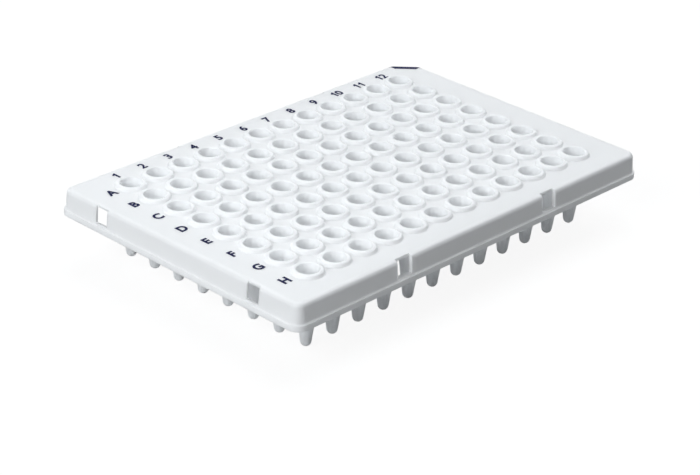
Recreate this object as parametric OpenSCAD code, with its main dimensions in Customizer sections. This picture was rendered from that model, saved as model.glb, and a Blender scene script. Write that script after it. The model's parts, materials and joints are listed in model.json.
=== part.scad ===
// 96-well PCR plate, half skirted: a flat deck with raised well rims, a low skirt with a
// thicker foot and slots, and thin tapered tubes hanging below. Moulded as one piece.
// Origin: centre of the footprint, on the plane the tube tips rest on. +Z is up.
// +X runs from column 1 to column 12, +Y points to row A.

/* [Wells] */
// Number of columns, along X
columns = 12; // [2:1:24]
// Number of rows, along Y
rows = 8; // [2:1:16]
// Distance between neighbouring wells, in X and in Y
pitch = 9; // [8.8:0.1:12]
// Height of the rims' tops above the tube tips
overall_h = 20.9; // [17.5:0.1:25]
// Radius of the straight bore at each well's mouth
mouth_r = 2.85; // [2.6:0.05:2.95]
// Wall thickness of the tapered tube
tube_wall = 0.4; // [0.3:0.05:0.6]
// Radius of the rounded outer tip of each tube
tip_r = 1.4; // [1.3:0.05:1.6]
// Half angle of the tube's cone
cone_angle = 7.6; // [6.6:0.1:9.5]

/* [Rims] */
// Height of each rim above the deck
rim_h = 1; // [0.7:0.05:1.5]
// Thickness of a rim, from the bore to where its outer face meets the rounding
rim_wall = 1.15; // [0.9:0.05:1.15]
// Distance that a rim's outer face leans inwards between the deck and the rounding
rim_lean = 0.2; // [0:0.05:0.25]
// Rounding of a rim's outer edge
rim_round = 0.55; // [0.2:0.05:0.6]
// Rounding of a well's lip on the inside
lip_round = 0.25; // [0.1:0.05:0.25]

/* [Deck and skirt] */
// Distance from an end column's centres to the footprint's edge, along X
end_border = 14.38; // [11.5:0.01:20]
// Distance from an outer row's centres to the footprint's edge, along Y
side_border = 11.24; // [9:0.01:16]
// Thickness of the deck
deck_t = 0.8; // [0.7:0.1:1.4]
// Height of the whole skirt, from its foot to the deck's top
skirt_h = 7.1; // [5.5:0.05:9]
// Thickness of the skirt's wall along the long sides
wall_t = 1.2; // [0.9:0.05:1.4]
// Thickness of the skirt's wall along the short sides
end_wall_t = 0.6; // [0.5:0.05:1.4]
// Distance that the wall leans inwards between the foot and the deck
wall_draft = 0.25; // [0:0.05:0.5]
// Distance that the skirt's foot stands out from the wall
foot_out = 0.5; // [0.3:0.05:0.8]
// Height of the foot's upright face
foot_h = 1.6; // [1:0.1:2]
// Radius of the footprint's vertical corners
corner_r = 3.18; // [3.1:0.01:4]
// Rounding between the deck and the wall
edge_r = 1.3; // [0.6:0.05:1.4]
// Length of the footprint's side that the cut corner, by A12, takes off
corner_cut = 6.2; // [4:0.1:7]

/* [Slots] */
// Width of the slots in the long sides, each midway between two wells
slot_w = 5; // [3:0.1:5.5]
// Width of the slots in the short sides, each midway between two wells
end_slot_w = 4.1; // [3:0.1:5.5]
// Height of the slots' floors above the foot's cove
slot_step = 0.1; // [0:0.05:1]
// Wells outside each slot in the long sides
long_side_wells = 3; // [1:1:5]
// Wells outside each slot in the short sides
short_side_wells = 1; // [1:1:3]

/* [Hidden] */
$fn = 48;

deck_top = overall_h - rim_h;
foot_z = deck_top - skirt_h;
footprint_l = (columns - 1) * pitch + 2 * end_border;
footprint_w = (rows - 1) * pitch + 2 * side_border;
foot_top = foot_z + foot_h;
cove_top = foot_top + foot_out;
wall_in = foot_out + wall_draft;   // the wall's top, measured in from the footprint
cut_turn = corner_cut + corner_r * tan(22.5);   // where a side stops short of the cut corner
inner_r = tip_r - tube_wall;       // rounded bottom inside a tube
first_x = -(columns - 1) / 2 * pitch;
first_y = (rows - 1) / 2 * pitch;
end_gain = wall_t - end_wall_t;    // how much nearer the hollow comes to the short sides
slot_z = cove_top + slot_step;     // a slot's floor
overlap = 0.5;
straight_l = footprint_l - 2 * corner_r;
straight_w = footprint_w - 2 * corner_r;
to_middle = straight_w / 2 + overlap;
across = footprint_l + footprint_w;   // longer than any line across the plate

// Where a cone of the tube's taper leaves a rounded tip of radius r
function cone_start_r(r) = r * cos(cone_angle);
function cone_start_z(r) = r * (1 - sin(cone_angle));

// Height above a rounded tip of radius r at which its cone has grown to radius to_r
function cone_rise(r, to_r) = cone_start_z(r) + (to_r - cone_start_r(r)) / tan(cone_angle);

// Section of the plate's border from a corner's centre line outwards: x is the distance
// out from that line, y the height. It starts at x = -inward.
module border_section(inward) {
    face = corner_r - wall_in;     // outer face of the wall at the deck
    difference() {
        polygon([
            [-inward, foot_z],
            [corner_r, foot_z],
            [corner_r, cove_top],
            [corner_r - foot_out, cove_top],
            [face, deck_top - edge_r],
            [face, deck_top],
            [-inward, deck_top]
        ]);
        // the hollow cove from the foot's upper edge to the wall
        translate([corner_r, cove_top]) circle(r = foot_out);
        // the rounding between the wall and the deck
        translate([face - edge_r, deck_top - edge_r])
            difference() {
                square(edge_r + overlap);
                circle(r = edge_r);
            }
    }
}

// Section of the hollow under the deck, inside the skirt's wall
module hollow_section(inward) {
    inner_foot = corner_r - foot_out - wall_t;
    polygon([
        [-inward, foot_z - overlap],
        [inner_foot, foot_z - overlap],
        [inner_foot, foot_z],
        [inner_foot - wall_draft, deck_top - deck_t],
        [-inward, deck_top - deck_t]
    ]);
}

module section(hollow, inward) {
    if (hollow) hollow_section(inward);
    else border_section(inward);
}

// A straight side facing +X, that reaches this far in from its centre line
module side(hollow, length, inward) {
    rotate([90, 0, 0])
        linear_extrude(height = length, center = true) section(hollow, inward);
}

// Everything to the inner side of the cut corner
module inside_cut(hollow) {
    translate([footprint_l / 2 - corner_r, footprint_w / 2 - cut_turn, 0])
        rotate([0, 0, 45]) side(hollow, 2 * across, across);
}

// The solid inside the four sides and the cut corner
module body(hollow) {
    length = straight_l + (hollow ? 2 * end_gain : 0);
    intersection() {
        union() {
            for (turn = [0, 180])
                rotate([0, 0, turn]) {
                    translate([length / 2, 0, 0]) side(hollow, straight_w, to_middle);
                    translate([0, straight_w / 2, 0])
                        rotate([0, 0, 90]) side(hollow, length, to_middle);
                    translate([length / 2, straight_w / 2, 0])
                        rotate_extrude(angle = 90) section(hollow, 0);
                    translate([-length / 2, straight_w / 2, 0])
                        rotate([0, 0, 90]) rotate_extrude(angle = 90) section(hollow, 0);
                }
        }
        inside_cut(hollow);
    }
}

// The half of a disc of radius r that lies at x > 0, its lowest point at height z
module half_disc(r, z) {
    intersection() {
        translate([0, z + r]) circle(r = r);
        translate([0, z]) square([r, 2 * r]);
    }
}

// Outer shape of one well: rim, straight collar and tapered tube, its tip at z = 0
module well_body() {
    rim_r = mouth_r + rim_wall;
    rim_flat_r = rim_r - rim_round;
    round_z = overall_h - rim_round;
    tube_r = mouth_r + tube_wall;
    rotate_extrude() {
        half_disc(tip_r, 0);
        polygon([
            [0, cone_start_z(tip_r)],
            [cone_start_r(tip_r), cone_start_z(tip_r)],
            [tube_r, cone_rise(tip_r, tube_r)],
            [tube_r, deck_top - overlap],
            [0, deck_top - overlap]
        ]);
        polygon([
            [0, deck_top - overlap],
            [rim_r + rim_lean, deck_top - overlap],
            [rim_r + rim_lean, deck_top],
            [rim_r, round_z],
            [rim_flat_r, round_z],
            [rim_flat_r, overall_h],
            [0, overall_h]
        ]);
        translate([rim_flat_r, round_z]) circle(r = rim_round);
    }
}

// Inside of one well: rounded lip, straight mouth, cone and round bottom
module well_cavity() {
    lip_z = overall_h - lip_round;
    bottom_z = tube_wall;
    rotate_extrude() {
        half_disc(inner_r, bottom_z);
        polygon([
            [0, bottom_z + cone_start_z(inner_r)],
            [cone_start_r(inner_r), bottom_z + cone_start_z(inner_r)],
            [mouth_r, bottom_z + cone_rise(inner_r, mouth_r)],
            [mouth_r, overall_h + overlap],
            [0, overall_h + overlap]
        ]);
        difference() {
            translate([mouth_r - overlap, lip_z]) square([lip_round + overlap, lip_round + overlap]);
            translate([mouth_r + lip_round, lip_z]) circle(r = lip_round);
        }
    }
}

// A slot of this width through a wall this thick, in the side that faces along +X
module slot(side, along, width, wall) {
    reach = wall_in + wall;
    translate([side - reach, along - width / 2, slot_z])
        cube([reach + overlap, width, overall_h - slot_z]);
}

module all_slots() {
    long_side_at = first_x + (long_side_wells - 0.5) * pitch;
    short_side_at = first_y - (short_side_wells - 0.5) * pitch;
    for (turn = [0, 180])
        rotate([0, 0, turn]) {
            for (at = [-short_side_at, short_side_at])
                slot(footprint_l / 2, at, end_slot_w, end_wall_t);
            rotate([0, 0, 90])
                for (at = [-long_side_at, long_side_at])
                    slot(footprint_w / 2, at, slot_w, wall_t);
        }
}

module each_well() {
    for (column = [0 : columns - 1], row = [0 : rows - 1])
        translate([first_x + column * pitch, first_y - row * pitch, 0]) children();
}

module plate() {
    color("white")
        difference() {
            union() {
                difference() {
                    body(hollow = false);
                    body(hollow = true);
                }
                each_well() well_body();
            }
            each_well() well_cavity();
            all_slots();
        }
}

plate();
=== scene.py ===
"""A white 96-well PCR plate with a half-height skirt, seen from its row H corner.

The plate is one moulding. It is built here as one closed mesh that stands for the CAD
node: 96 lathed wells repeated by geometry nodes, and the deck's border and the slotted
skirt swept round them. The row letters and column numbers are thin raised ink, and a dark
band along the cut corner is a thin raised layer of the same finish. Lengths are in metres;
the axes are the CAD part's.
"""

import json
import math
from collections import namedtuple

import bmesh
import bpy
from mathutils import Euler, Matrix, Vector
from mathutils.geometry import delaunay_2d_cdt


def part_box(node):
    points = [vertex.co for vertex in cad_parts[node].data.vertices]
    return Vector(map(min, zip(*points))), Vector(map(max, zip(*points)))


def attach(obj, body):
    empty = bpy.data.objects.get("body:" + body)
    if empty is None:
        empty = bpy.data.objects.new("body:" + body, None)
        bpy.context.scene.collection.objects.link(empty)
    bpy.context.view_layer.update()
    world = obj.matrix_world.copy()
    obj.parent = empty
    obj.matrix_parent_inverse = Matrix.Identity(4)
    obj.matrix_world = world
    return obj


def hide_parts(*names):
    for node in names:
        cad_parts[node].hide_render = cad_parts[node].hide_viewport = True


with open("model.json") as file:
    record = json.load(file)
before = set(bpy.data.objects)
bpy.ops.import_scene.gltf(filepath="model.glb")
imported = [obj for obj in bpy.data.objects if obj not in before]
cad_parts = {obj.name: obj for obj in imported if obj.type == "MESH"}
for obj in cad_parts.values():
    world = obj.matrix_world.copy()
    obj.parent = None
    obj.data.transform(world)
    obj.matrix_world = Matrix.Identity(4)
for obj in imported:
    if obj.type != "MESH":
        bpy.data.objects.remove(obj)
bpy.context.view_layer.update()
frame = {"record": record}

MM = 0.001
PLATE = "plate"  # the CAD part's one node and its material slot
BODY = "root"


def mount(name):
    return next(m for m in frame["record"]["mounts"] if m["name"] == name)


# Heights and places that the CAD part states
low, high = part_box(PLATE)
RIM_TOP = high.z
DECK_TOP = mount("deck_face")["pos_m"][2]
FOOT_BOTTOM = mount("skirt_foot")["pos_m"][2]
A1_X, A1_Y = mount("well_a1")["pos_m"][:2]
MOUTH_R = mount("well_a1")["dims"]["r_mm"] * MM

# Wells
COLUMNS, ROWS = 12, 8
PITCH = 9 * MM
TUBE_WALL = 0.4 * MM
TIP_R = 1.4 * MM
CONE_ANGLE = math.radians(7.6)
RIM_WALL = 1.15 * MM
RIM_LEAN = 0.2 * MM
RIM_ROUND = 0.55 * MM
RIM_COVE = 0.15 * MM  # the soft corner between a rim and the deck
LIP_ROUND = 0.25 * MM
ROUND_STEPS = 40  # vertices round a well; a multiple of 8 puts one on each corner of its square

# Deck and skirt
DECK_T = 0.8 * MM
WALL_T = 1.2 * MM
END_WALL_T = 0.6 * MM
WALL_DRAFT = 0.25 * MM
FOOT_OUT = 0.5 * MM
FOOT_H = 1.6 * MM
FOOT_EDGE = 0.15 * MM  # the soft lower edges of the foot
CORNER_R = 3.18 * MM
EDGE_R = 1.3 * MM
CORNER_CUT = 6.2 * MM
SLOT_W = 5 * MM
END_SLOT_W = 4.1 * MM
SLOT_STEP = 0.1 * MM  # from the cove's top to a slot's floor
LONG_SLOT_WELLS = 2.5  # pitches from the end column to the slots in the long sides
END_SLOT_WELLS = 0.5  # pitches from the outer row to the slots in the short sides
CORNER_STEPS = 9
CUT_STEPS = 5  # for each of the two bends at the cut corner

FOOT_TOP = FOOT_BOTTOM + FOOT_H
COVE_TOP = FOOT_TOP + FOOT_OUT
SLOT_FLOOR = COVE_TOP + SLOT_STEP
WALL_FACE = CORNER_R - FOOT_OUT - WALL_DRAFT  # the wall at the deck, out from a corner's centre
END_GAIN = WALL_T - END_WALL_T  # how much nearer the hollow comes to the short sides
CUT_TURN = CORNER_CUT + CORNER_R * math.tan(math.radians(22.5))
WELD = 0.001 * MM  # points nearer than this become one


def along(start, end, share):
    return start + (end - start) * share


def arc(centre, radius, start, end, steps):
    """Points (across, height) on an arc, without its first point. Angles in degrees."""
    points = []
    for step in range(1, steps + 1):
        angle = math.radians(along(start, end, step / steps))
        points.append((centre[0] + radius * math.cos(angle), centre[1] + radius * math.sin(angle)))
    return points


def mesh_object(name, mesh):
    thing = bpy.data.objects.new(name, mesh)
    bpy.context.scene.collection.objects.link(thing)
    return thing


def from_bmesh(name, shape):
    mesh = bpy.data.meshes.new(name)
    shape.to_mesh(mesh)
    shape.free()
    return mesh_object(name, mesh)


# ---------------------------------------------------------------- camera

CAMERA_AT = Vector((-408.42, -379.75, 282.76)) * MM
CAMERA_TURN = [math.radians(angle) for angle in (63.117, -2.031, -45.937)]
CAMERA_LENS = 122.97

camera_data = bpy.data.cameras.new("camera")
camera_data.lens = CAMERA_LENS
camera_data.sensor_width = 36
camera_data.clip_start = 0.01
camera_data.clip_end = 20
camera = bpy.data.objects.new("camera", camera_data)
camera.location = CAMERA_AT
camera.rotation_euler = Euler(CAMERA_TURN)
bpy.context.scene.collection.objects.link(camera)
bpy.context.scene.camera = camera


# ---------------------------------------------------------------- finishes


class Sum:
    """A number in a finish's node tree. Sums on it add Math nodes."""

    def __init__(self, finish, socket):
        self.finish = finish
        self.socket = socket

    def _math(self, operation, first, second):
        return self.finish.node("ShaderNodeMath", {"operation": operation}, [first, second])

    def __add__(self, other):
        return self._math("ADD", self, other)

    def __mul__(self, other):
        return self._math("MULTIPLY", self, other)

    __radd__ = __add__
    __rmul__ = __mul__


class Finish:
    """The nodes of a material or of the world."""

    def __init__(self, owner):
        owner.use_nodes = True
        self.owner = owner
        self.tree = owner.node_tree
        self.tree.nodes.clear()

    def node(self, kind, settings, inputs, output=0):
        """Adds a node. inputs is a list in socket order, or a dict by socket name."""
        node = self.tree.nodes.new(kind)
        for name, value in settings.items():
            setattr(node, name, value)
        pairs = inputs.items() if isinstance(inputs, dict) else enumerate(inputs)
        for key, value in pairs:
            if isinstance(value, Sum):
                self.tree.links.new(value.socket, node.inputs[key])
            else:
                node.inputs[key].default_value = value
        return Sum(self, node.outputs[output]) if node.outputs else None

    def blend(self, share, first, second):
        """A colour between two colours: inputs 6 and 7 and output 2 of the Mix node."""
        inputs = {0: share, 6: (*first, 1), 7: (*second, 1)}
        return self.node("ShaderNodeMix", {"data_type": "RGBA"}, inputs, 2)

    def place(self):
        """Where on the object a point is, in metres."""
        return self.node("ShaderNodeTexCoord", {}, {}, "Object")

    def noise(self, size, detail, roughness=0.5):
        """Soft random tones, 0 to 1, of about this size in metres."""
        return self.node(
            "ShaderNodeTexNoise",
            {},
            {"Vector": self.place(), "Scale": 1 / size, "Detail": detail, "Roughness": roughness},
        )

    def band(self, value, start, end):
        """0 below start, 1 above end, and smooth between."""
        return self.node(
            "ShaderNodeMapRange",
            {"interpolation_type": "SMOOTHSTEP"},
            {"Value": value, "From Min": start, "From Max": end},
        )

    def texture(self, height, strength):
        """A normal for fine raised texture."""
        inputs = {"Strength": strength, "Distance": TEXTURE_HEIGHT, "Height": height}
        return self.node("ShaderNodeBump", {}, inputs)

    def output(self, surface, kind="ShaderNodeOutputMaterial"):
        self.node(kind, {}, {"Surface": surface})
        return self.owner


def new_material(name):
    return Finish(bpy.data.materials.new(name))


TEXTURE_HEIGHT = 0.004 * MM
GLOW_DEPTH = 1.5 * MM  # how far light wanders inside the milky plastic


def white_polypropylene():
    """Satin white moulding: faint drift of tone, fine tool texture."""
    finish = new_material("white_polypropylene")
    drift = finish.noise(22 * MM, 2)
    mottle = finish.noise(1.6 * MM, 3)
    grain = finish.noise(0.09 * MM, 2)
    tone = finish.band(drift * 0.7 + mottle * 0.3, 0.3, 0.7)
    colour = finish.blend(tone, (0.972, 0.978, 0.982), (0.984, 0.987, 0.99))
    roughness = 0.4 + 0.1 * mottle + 0.05 * drift
    shader = finish.node(
        "ShaderNodeBsdfPrincipled",
        {},
        {
            "Base Color": colour,
            "Roughness": roughness,
            "IOR": 1.49,
            "Specular IOR Level": 0.4,
            "Subsurface Weight": 1.0,
            "Subsurface Radius": (1, 1, 1),
            "Subsurface Scale": GLOW_DEPTH,
            "Normal": finish.texture(grain, 0.25),
        },
    )
    return finish.output(shader)


def navy_ink():
    """Printed ink: dense blue, a little thin where the deck's texture lifts it."""
    finish = new_material("navy_ink")
    wear = finish.noise(0.25 * MM, 3, 0.6)
    cloud = finish.noise(3 * MM, 2)
    thin = finish.band(wear * 0.6 + cloud * 0.4, 0.45, 0.75)
    colour = finish.blend(thin, (0.004, 0.006, 0.042), (0.012, 0.016, 0.085))
    shader = finish.node(
        "ShaderNodeBsdfPrincipled",
        {},
        {
            "Base Color": colour,
            "Roughness": 0.5 + 0.15 * wear,
            "IOR": 1.5,
            "Specular IOR Level": 0.1,
            "Normal": finish.texture(wear, 0.3),
        },
    )
    return finish.output(shader)


POLYPROPYLENE = white_polypropylene()
INK = navy_ink()


# ---------------------------------------------------------------- wells


def cone_start(radius):
    """Radius and height above a rounded tip at which its cone leaves it."""
    return radius * math.cos(CONE_ANGLE), radius * (1 - math.sin(CONE_ANGLE))


def cone_rise(radius, to_radius):
    start_r, start_z = cone_start(radius)
    return start_z + (to_radius - start_r) / math.tan(CONE_ANGLE)


def well_top_profile():
    """From the rim's foot on the deck, over the rim and down to the bottom inside."""
    rim_r = MOUTH_R + RIM_WALL
    inner_r = TIP_R - TUBE_WALL
    lip_r = MOUTH_R + LIP_ROUND
    foot_r = rim_r + RIM_LEAN
    points = [(foot_r + RIM_COVE, DECK_TOP)]
    points += arc((foot_r + RIM_COVE, DECK_TOP + RIM_COVE), RIM_COVE, 270, 200, 2)
    points.append((rim_r, RIM_TOP - RIM_ROUND))
    points += arc((rim_r - RIM_ROUND, RIM_TOP - RIM_ROUND), RIM_ROUND, 0, 90, 4)
    points.append((lip_r, RIM_TOP))
    points += arc((lip_r, RIM_TOP - LIP_ROUND), LIP_ROUND, 90, 180, 3)
    points.append((MOUTH_R, TUBE_WALL + cone_rise(inner_r, MOUTH_R)))
    start_r, start_z = cone_start(inner_r)
    points.append((start_r, TUBE_WALL + start_z))
    points += arc((0, TUBE_WALL + inner_r), inner_r, -math.degrees(CONE_ANGLE), -90, 3)
    return points


def well_under_profile():
    """From the tube's foot under the deck down to its tip."""
    tube_r = MOUTH_R + TUBE_WALL
    points = [(tube_r, DECK_TOP - DECK_T), (tube_r, cone_rise(TIP_R, tube_r))]
    points.append(cone_start(TIP_R))
    points += arc((0, TIP_R), TIP_R, -math.degrees(CONE_ANGLE), -90, 4)
    return points


def on_square(angle, half):
    """The point of a square's edge in this direction from its centre."""
    x, y = math.cos(angle), math.sin(angle)
    reach = half / max(abs(x), abs(y))
    return x * reach, y * reach


def lathe(shape, profile, deck_z):
    """Turns a profile into rings that start from a square patch of the deck at deck_z."""
    turns = [2 * math.pi * step / ROUND_STEPS for step in range(ROUND_STEPS)]
    rings = [[shape.verts.new((*on_square(turn, PITCH / 2), deck_z)) for turn in turns]]
    for radius, height in profile[:-1]:
        rings.append(
            [shape.verts.new((radius * math.cos(t), radius * math.sin(t), height)) for t in turns]
        )
    for outer, inner in zip(rings, rings[1:]):
        for i in range(ROUND_STEPS):
            j = (i + 1) % ROUND_STEPS
            shape.faces.new((outer[i], outer[j], inner[j], inner[i]))
    pole = shape.verts.new((0, 0, profile[-1][1]))
    for i in range(ROUND_STEPS):
        shape.faces.new((rings[-1][i], rings[-1][(i + 1) % ROUND_STEPS], pole))


def one_well():
    """A pitch-wide square of the plate with one well in it, open at its four sides."""
    shape = bmesh.new()
    lathe(shape, well_top_profile(), DECK_TOP)
    lathe(shape, well_under_profile(), DECK_TOP - DECK_T)
    return from_bmesh("well", shape)


def well_grid_tree():
    """Geometry nodes that repeat the object's own mesh over the grid and weld it."""
    tree = bpy.data.node_groups.new("well_grid", "GeometryNodeTree")
    tree.interface.new_socket("Well", in_out="INPUT", socket_type="NodeSocketGeometry")
    inputs = {}
    for name, kind in (
        ("Columns", "NodeSocketInt"),
        ("Rows", "NodeSocketInt"),
        ("Pitch", "NodeSocketFloat"),
        ("Finish", "NodeSocketMaterial"),
    ):
        inputs[name] = tree.interface.new_socket(name, in_out="INPUT", socket_type=kind).identifier
    tree.interface.new_socket("Wells", in_out="OUTPUT", socket_type="NodeSocketGeometry")

    def node(kind, links, **settings):
        made = tree.nodes.new(kind)
        for name, value in settings.items():
            setattr(made, name, value)
        for key, value in links.items():
            if isinstance(value, bpy.types.NodeSocket):
                tree.links.new(value, made.inputs[key])
            else:
                made.inputs[key].default_value = value
        return made

    given = node("NodeGroupInput", {}).outputs
    spans = []
    for name in ("Columns", "Rows"):
        gaps = node("ShaderNodeMath", {0: given[name], 1: 1.0}, operation="SUBTRACT")
        spans.append(
            node("ShaderNodeMath", {0: gaps.outputs[0], 1: given["Pitch"]}, operation="MULTIPLY")
        )
    grid = node(
        "GeometryNodeMeshGrid",
        {
            "Size X": spans[0].outputs[0],
            "Size Y": spans[1].outputs[0],
            "Vertices X": given["Columns"],
            "Vertices Y": given["Rows"],
        },
    )
    copies = node(
        "GeometryNodeInstanceOnPoints",
        {"Points": grid.outputs["Mesh"], "Instance": given["Well"]},
    )
    real = node("GeometryNodeRealizeInstances", {"Geometry": copies.outputs[0]})
    welded = node("GeometryNodeMergeByDistance", {"Geometry": real.outputs[0], "Distance": WELD})
    finished = node(
        "GeometryNodeSetMaterial", {"Geometry": welded.outputs[0], "Material": given["Finish"]}
    )
    node("NodeGroupOutput", {"Wells": finished.outputs[0]})
    return tree, inputs


def all_wells():
    """The whole grid of wells as a plain mesh."""
    well = one_well()
    tree, inputs = well_grid_tree()
    repeat = well.modifiers.new("well_grid", "NODES")
    repeat.node_group = tree
    for name, value in (
        ("Columns", COLUMNS),
        ("Rows", ROWS),
        ("Pitch", PITCH),
        ("Finish", POLYPROPYLENE),
    ):
        repeat[inputs[name]] = value
    graph = bpy.context.evaluated_depsgraph_get()
    mesh = bpy.data.meshes.new_from_object(well.evaluated_get(graph))
    bpy.data.objects.remove(well)
    return mesh


# ---------------------------------------------------------------- deck border and skirt


def wall_out(height):
    """The outer face of the wall at a height, out from a corner's centre."""
    share = (height - COVE_TOP) / (DECK_TOP - EDGE_R - COVE_TOP)
    return along(CORNER_R - FOOT_OUT, WALL_FACE, share)


def wall_in(height):
    """The inner face of the wall at a height."""
    share = (height - FOOT_BOTTOM) / (DECK_TOP - DECK_T - FOOT_BOTTOM)
    return along(CORNER_R - FOOT_OUT - WALL_T, WALL_FACE - WALL_T, share)


def slot_cut_angle(wall):
    """Where on the deck's edge rounding a slot through a wall of this thickness ends."""
    return math.degrees(math.acos((EDGE_R - wall) / EDGE_R))


# The border's section: places (out from a corner's centre, height) from the deck's top over
# the edge, down the skirt, under its foot and up inside to the deck's underside. slot_tops
# are where the slots of the long and the short sides start. A slot's floor runs from
# slot_outside to slot_inside. The points from hollow on are those of the hollow inside.
Section = namedtuple("Section", "points slot_tops slot_outside slot_inside hollow")


def skirt_section():
    edge_centre = (WALL_FACE - EDGE_R, DECK_TOP - EDGE_R)
    long_cut, end_cut = slot_cut_angle(WALL_T), slot_cut_angle(END_WALL_T)
    points = [(WALL_FACE - EDGE_R, DECK_TOP)]
    points += arc(edge_centre, EDGE_R, 90, long_cut, 1)
    points += arc(edge_centre, EDGE_R, long_cut, end_cut, 1)
    points += arc(edge_centre, EDGE_R, end_cut, 0, 5)
    slot_outside = len(points)
    points.append((wall_out(SLOT_FLOOR), SLOT_FLOOR))
    points.append((CORNER_R - FOOT_OUT, COVE_TOP))
    points += arc((CORNER_R, COVE_TOP), FOOT_OUT, 180, 270, 5)
    points.append((CORNER_R, FOOT_BOTTOM + FOOT_EDGE))
    points += arc((CORNER_R - FOOT_EDGE, FOOT_BOTTOM + FOOT_EDGE), FOOT_EDGE, 0, -90, 3)
    hollow = len(points)
    inner_edge = wall_in(FOOT_BOTTOM)
    points.append((inner_edge + FOOT_EDGE, FOOT_BOTTOM))
    points += arc((inner_edge + FOOT_EDGE, FOOT_BOTTOM + FOOT_EDGE), FOOT_EDGE, 270, 180, 3)
    slot_inside = len(points)
    points.append((wall_in(SLOT_FLOOR), SLOT_FLOOR))
    points.append((WALL_FACE - WALL_T, DECK_TOP - DECK_T))
    return Section(points, {"long": 1, "end": 2}, slot_outside, slot_inside, hollow)


# A place on the way round the plate: the section's foot (x, y), the direction it faces,
# the slot that starts there, if one does, and how far the hollow's points are shifted.
Station = namedtuple("Station", "x y direction slot shift")


def outline():
    """Stations round the plate, anticlockwise from the corner at row H, column 1."""
    far_x, far_y = high.x - CORNER_R, high.y - CORNER_R
    long_at = -(A1_X + LONG_SLOT_WELLS * PITCH)
    short_at = A1_Y - END_SLOT_WELLS * PITCH
    stations = []

    def turn(x, y, start, end, steps, shift):
        for step in range(steps + 1):
            direction = along(start, end, step / steps)
            stations.append(Station(x, y, direction, None, shift))

    def slots(at, width, direction):
        """Stations at the ends of the two slots in one side, in walking order."""
        kind = "long" if direction in (90, 270) else "end"
        for middle in (-at, at):
            for edge, slot in ((middle - width / 2, kind), (middle + width / 2, None)):
                x, y, shift = {
                    270: (edge, -far_y, 0),
                    0: (far_x, edge, END_GAIN),
                    90: (-edge, far_y, 0),
                    180: (-far_x, -edge, -END_GAIN),
                }[direction]
                stations.append(Station(x, y, direction, slot, (shift, 0)))

    turn(-far_x, -far_y, 180, 270, CORNER_STEPS, (-END_GAIN, 0))
    slots(long_at, SLOT_W, 270)
    turn(far_x, -far_y, 270, 360, CORNER_STEPS, (END_GAIN, 0))
    slots(short_at, END_SLOT_W, 0)
    turn(far_x, high.y - CUT_TURN, 0, 45, CUT_STEPS, (END_GAIN, -END_GAIN))
    turn(high.x - CUT_TURN, far_y, 45, 90, CUT_STEPS, (0, 0))
    slots(long_at, SLOT_W, 90)
    turn(-far_x, far_y, 90, 180, CORNER_STEPS, (-END_GAIN, 0))
    slots(short_at, END_SLOT_W, 180)
    return stations


def well_block_edge():
    """The corner-to-corner outline of the wells' block, with a point at each of its vertices."""
    half_x, half_y = COLUMNS * PITCH / 2, ROWS * PITCH / 2
    eighth = ROUND_STEPS // 8
    offsets = [
        PITCH / 2 * math.tan(2 * math.pi * k / ROUND_STEPS) for k in range(-eighth, eighth)
    ]
    edge = []
    for count, start, step in (
        (COLUMNS, (-half_x, -half_y), (1, 0)),
        (ROWS, (half_x, -half_y), (0, 1)),
        (COLUMNS, (half_x, half_y), (-1, 0)),
        (ROWS, (-half_x, half_y), (0, -1)),
    ):
        for well in range(count):
            for offset in offsets:
                reach = (well + 0.5) * PITCH + offset
                edge.append((start[0] + step[0] * reach, start[1] + step[1] * reach))
    return edge


def fill_flat(shape, outer, height):
    """Triangles between the skirt's inner line and the wells' block, at one height."""
    inner = well_block_edge()
    points = [Vector(p) for p in outer + inner]
    first = len(outer)
    edges = [(i, (i + 1) % first) for i in range(first)]
    edges += [(first + i, first + (i + 1) % len(inner)) for i in range(len(inner))]
    flat, _, faces, _, _, _ = delaunay_2d_cdt(points, edges, [], 1, WELD * 0.1)
    half_x, half_y = COLUMNS * PITCH / 2, ROWS * PITCH / 2
    verts = [shape.verts.new((p.x, p.y, height)) for p in flat]
    for face in faces:
        middle = sum((flat[i] for i in face), Vector((0, 0))) / 3
        if abs(middle.x) > half_x or abs(middle.y) > half_y:
            shape.faces.new([verts[i] for i in face])


def section_ring(shape, section, station):
    """The section's vertices at a station."""
    angle = math.radians(station.direction)
    dx, dy = math.cos(angle), math.sin(angle)
    ring = []
    for i, (out, height) in enumerate(section.points):
        shift_x, shift_y = station.shift if i >= section.hollow else (0, 0)
        x = station.x + out * dx + shift_x
        y = station.y + out * dy + shift_y
        ring.append(shape.verts.new((x, y, height)))
    return ring


def border():
    """The deck's border and the skirt, open towards the wells' block."""
    shape = bmesh.new()
    section = skirt_section()
    outside, inside = section.slot_outside, section.slot_inside
    last = len(section.points) - 1
    stations = outline()
    rings = [section_ring(shape, section, station) for station in stations]
    for i, station in enumerate(stations):
        here, there = rings[i], rings[(i + 1) % len(rings)]
        top = section.slot_tops.get(station.slot)
        for j in range(last):
            cut = top is not None and (top <= j < outside or j >= inside)
            if not cut:
                shape.faces.new((here[j], here[j + 1], there[j + 1], there[j]))
        if top is not None:
            shape.faces.new((here[outside], here[inside], there[inside], there[outside]))
            shape.faces.new((here[last], here[top], there[top], there[last]))
            for ring in (here, there):
                shape.faces.new(ring[top : outside + 1] + ring[inside:])
    for index, height in ((0, DECK_TOP), (last, DECK_TOP - DECK_T)):
        outer = [(ring[index].co.x, ring[index].co.y) for ring in rings]
        fill_flat(shape, outer, height)
    return shape


SHARP_ANGLE = math.radians(32)


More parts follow.
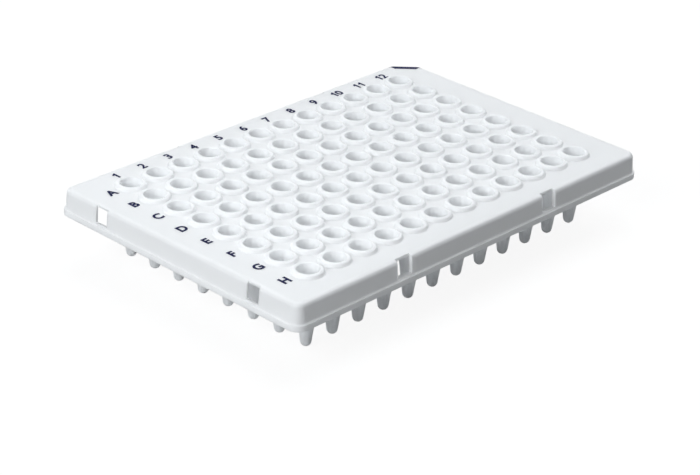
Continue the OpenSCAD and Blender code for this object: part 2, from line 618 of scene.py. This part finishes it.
def whole_plate():
    """Wells and border welded into one closed mesh."""
    wells = all_wells()
    shape = border()
    shape.from_mesh(wells)
    bmesh.ops.remove_doubles(shape, verts=shape.verts, dist=WELD)
    bmesh.ops.dissolve_degenerate(shape, edges=shape.edges, dist=WELD)
    bmesh.ops.recalc_face_normals(shape, faces=shape.faces)
    for face in shape.faces:
        face.smooth = True
    plate = from_bmesh("moulded_plate", shape)
    plate.data.set_sharp_from_angle(angle=SHARP_ANGLE)
    plate.data.materials.clear()
    plate.data.materials.append(POLYPROPYLENE)
    even = plate.modifiers.new("even_shading", "WEIGHTED_NORMAL")
    even.keep_sharp = True
    even.weight = 100
    return plate


plate = whole_plate()
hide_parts(PLATE)
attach(plate, BODY)


# ---------------------------------------------------------------- ink

INK_T = 0.03 * MM  # above the deck
INK_SINK = 0.01 * MM  # into the deck
CAP_HEIGHT = 2.55 * MM
FONT_CAP = 0.682  # a capital's height in the built-in font, for a size of 1
LETTER_BOLD = 0.165 * MM  # how far each stroke is thickened on either side
DIGIT_BOLD = 0.125 * MM
SHARPEST = 0.6  # how far a sharp corner may run out, as the cosine of its half turn
DIGIT_STEP = 1.9 * MM  # between the two digits of a number

ROW_LETTERS = "ABCDEFGH"
LETTER_X = A1_X - 6.6 * MM
NUMBER_Y = A1_Y + 6.6 * MM

# The print sits turned by a third of a degree against the wells, and its signs aren't spaced
# quite as they are. In mm: the first and the last sign's shift along X, each letter's shift
# along Y, and the first and the last number's.
LETTER_DRIFT = (0.15, -0.4)
LETTER_RISE = (0.1, 0.4, 0.55, 0.6, 0.75, 0.7, 0.75, 0.65)
NUMBER_DRIFT = (0.9, -0.6)
NUMBER_RISE = (0.3, -0.3)

# The font's own "1" is a bare bar, so it is drawn here with its flag, for a size of 1
FLAGGED_ONE = (
    (0.2, 0), (0.3, 0), (0.3, FONT_CAP), (0.235, FONT_CAP),
    (0.2, 0.6), (0.07, 0.54), (0.07, 0.45), (0.2, 0.49),
)  # fmt: skip


def character(sign):
    """The flat outline of one letter or digit, as a curve."""
    if sign == "1":
        curve = bpy.data.curves.new("one", "CURVE")
        curve.dimensions = "2D"
        curve.fill_mode = "BOTH"
        stroke = curve.splines.new("POLY")
        stroke.points.add(len(FLAGGED_ONE) - 1)
        for point, (x, y) in zip(stroke.points, FLAGGED_ONE):
            point.co = (x * CAP_HEIGHT / FONT_CAP, y * CAP_HEIGHT / FONT_CAP, 0, 1)
        stroke.use_cyclic_u = True
    else:
        curve = bpy.data.curves.new("sign", "FONT")
        curve.body = sign
        curve.size = CAP_HEIGHT / FONT_CAP
        curve.resolution_u = 6
    curve.extrude = (INK_T + INK_SINK) / 2
    return curve


def upright(face):
    return abs(face.normal.z) < 0.5


def thicken(shape, width):
    """Moves the upright sides of a flat closed sign outwards."""
    moves = []
    for vertex in shape.verts:
        sides = [face.normal for face in vertex.link_faces if upright(face)]
        outwards = sum(sides, Vector()).normalized()
        turn = min(outwards.dot(side) for side in sides)
        moves.append(outwards * width / max(turn, SHARPEST))
    for vertex, move in zip(shape.verts, moves):
        vertex.co += move


def printed(shape, sign, x, y):
    """Adds one letter or digit of raised ink on the deck, centred on x and y."""
    drawn = mesh_object("sign", character(sign))
    graph = bpy.context.evaluated_depsgraph_get()
    mesh = bpy.data.meshes.new_from_object(drawn.evaluated_get(graph))
    bpy.data.objects.remove(drawn)
    one = bmesh.new()
    one.from_mesh(mesh)
    bmesh.ops.remove_doubles(one, verts=one.verts, dist=WELD)
    bmesh.ops.recalc_face_normals(one, faces=one.faces)
    thicken(one, DIGIT_BOLD if sign.isdigit() else LETTER_BOLD)
    middle = [
        (min(v.co[axis] for v in one.verts) + max(v.co[axis] for v in one.verts)) / 2
        for axis in (0, 1)
    ]
    lift = DECK_TOP + (INK_T - INK_SINK) / 2
    bmesh.ops.translate(one, verts=one.verts, vec=(x - middle[0], y - middle[1], lift))
    one.to_mesh(mesh)
    one.free()
    shape.from_mesh(mesh)


def all_print():
    """Row letters and column numbers as one piece."""
    shape = bmesh.new()
    for row, letter in enumerate(ROW_LETTERS):
        x = LETTER_X + along(*LETTER_DRIFT, row / (ROWS - 1)) * MM
        y = A1_Y - row * PITCH + LETTER_RISE[row] * MM
        printed(shape, letter, x, y)
    for column in range(COLUMNS):
        share = column / (COLUMNS - 1)
        x = A1_X + column * PITCH + along(*NUMBER_DRIFT, share) * MM
        y = NUMBER_Y + along(*NUMBER_RISE, share) * MM
        digits = str(column + 1)
        for place, digit in enumerate(digits):
            step = (place - (len(digits) - 1) / 2) * DIGIT_STEP
            printed(shape, digit, x + step, y)
    ink = from_bmesh("row_and_column_print", shape)
    ink.data.materials.clear()
    ink.data.materials.append(INK)
    return ink


LINE_INWARD = 1.25 * MM  # how far the line reaches in from the deck's rounded edge
LINE_END = 20  # degrees of the edge's rounding that it leaves bare above the wall
LINE_STEPS = 6


def corner_line():
    """A dark band along the cut corner in the ink's finish, from the deck over its rounded edge.
    """
    centre = (WALL_FACE - EDGE_R, DECK_TOP - EDGE_R)
    lift = EDGE_R + INK_T
    sink = EDGE_R - INK_SINK
    outside = [(centre[0] - LINE_INWARD, DECK_TOP + INK_T), (centre[0], DECK_TOP + INK_T)]
    outside += arc(centre, lift, 90, LINE_END, LINE_STEPS)
    inside = [(centre[0] - LINE_INWARD, DECK_TOP - INK_SINK), (centre[0], DECK_TOP - INK_SINK)]
    inside += arc(centre, sink, 90, LINE_END, LINE_STEPS)
    loop = outside + inside[::-1]
    far_x, far_y = high.x - CORNER_R, high.y - CORNER_R
    bend = 45 / CUT_STEPS
    stations = [(far_x, high.y - CUT_TURN, bend * step) for step in range(CUT_STEPS + 1)]
    stations += [(high.x - CUT_TURN, far_y, 45 + bend * step) for step in range(CUT_STEPS + 1)]
    shape = bmesh.new()
    rings = []
    for x, y, direction in stations:
        dx, dy = math.cos(math.radians(direction)), math.sin(math.radians(direction))
        rings.append([shape.verts.new((x + out * dx, y + out * dy, z)) for out, z in loop])
    for here, there in zip(rings, rings[1:]):
        for j in range(len(loop)):
            k = (j + 1) % len(loop)
            shape.faces.new((here[j], here[k], there[k], there[j]))
    shape.faces.new(rings[0])
    shape.faces.new(rings[-1])
    bmesh.ops.recalc_face_normals(shape, faces=shape.faces)
    for face in shape.faces:
        face.smooth = True
    line = from_bmesh("cut_corner_line", shape)
    line.data.set_sharp_from_angle(angle=SHARP_ANGLE)
    line.data.materials.append(INK)
    return line


for ink in (all_print(), corner_line()):
    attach(ink, BODY)


# ---------------------------------------------------------------- studio

SEEN_BY = ("Camera", "Glossy", "Transmission")
FLOOR_HALF = 6  # metres from its middle to its edge
FLOOR_GREY = (0.5, 0.5, 0.5, 1)
FLOOR_SHOWN = 0.75  # share of the floor that shows as plain white; the rest keeps the shadow
FLOOR_GLOW = 1.21  # with the share that is only lit, this comes to plain white


def seen_directly(finish):
    """Over 0 where the camera, a reflection or a clear surface looks straight at this."""
    return sum(finish.node("ShaderNodeLightPath", {}, {}, "Is %s Ray" % kind) for kind in SEEN_BY)


def stage_white():
    """White to the camera and in reflections, and a grey board to the light. It keeps a
    faint shadow."""
    finish = new_material("stage_white")
    matt = finish.node("ShaderNodeBsdfDiffuse", {}, {"Color": FLOOR_GREY})
    glow = finish.node("ShaderNodeEmission", {}, {"Strength": FLOOR_GLOW})
    settings = {"operation": "MINIMUM"}
    shown = finish.node("ShaderNodeMath", settings, [seen_directly(finish), FLOOR_SHOWN])
    mixed = finish.node("ShaderNodeMixShader", {}, {0: shown, 1: matt, 2: glow})
    return finish.output(mixed)


def floor():
    shape = bmesh.new()
    bmesh.ops.create_grid(shape, x_segments=1, y_segments=1, size=FLOOR_HALF)
    bmesh.ops.translate(shape, verts=shape.verts, vec=(0, 0, low.z))
    board = from_bmesh("floor", shape)
    board.data.materials.append(stage_white())
    return board


def room():
    """A room that looks white and gives no light of its own."""
    finish = Finish(bpy.data.worlds.new("studio"))
    shown = finish.node("ShaderNodeMath", {"operation": "MINIMUM"}, [seen_directly(finish), 1.0])
    white = finish.node("ShaderNodeBackground", {}, {"Color": (1, 1, 1, 1), "Strength": shown})
    return finish.output(white, "ShaderNodeOutputWorld")


floor()
bpy.context.scene.world = room()
bpy.context.scene.view_settings.view_transform = "Standard"

# Light is passed on many times inside a white well before it comes out
WELL_BOUNCES = 24
bpy.context.scene.cycles.max_bounces = WELL_BOUNCES
bpy.context.scene.cycles.diffuse_bounces = WELL_BOUNCES


LAMP_AIM = Vector((0, 0, 10)) * MM  # the plate's middle
DAYLIGHT = (0.935, 0.97, 1)
NEUTRAL = (1, 1, 1)


def softbox(name, turn, rise, distance, side, power, colour=DAYLIGHT):
    """A square lamp that points at the plate. Its turn from +X and its rise above the floor
    are in degrees, its distance and side in metres, and its power in watts."""
    lamp = bpy.data.lights.new(name, "AREA")
    lamp.shape = "SQUARE"
    lamp.size = side
    lamp.energy = power
    lamp.color = colour
    away = Euler((0, -math.radians(rise), math.radians(turn))).to_matrix() @ Vector((1, 0, 0))
    thing = bpy.data.objects.new(name, lamp)
    thing.location = LAMP_AIM + away * distance
    thing.rotation_euler = away.to_track_quat("Z", "Y").to_euler()
    bpy.context.scene.collection.objects.link(thing)


softbox("key", 184, 32, 0.65, 0.36, 2.85)
softbox("high", 50, 61, 1, 0.5, 3.4)
softbox("right", 0, 40, 1, 0.45, 3.4)
softbox("top", 0, 89, 1, 0.45, 1.2)
softbox("low", 200, 5, 1, 0.45, 0.95, NEUTRAL)
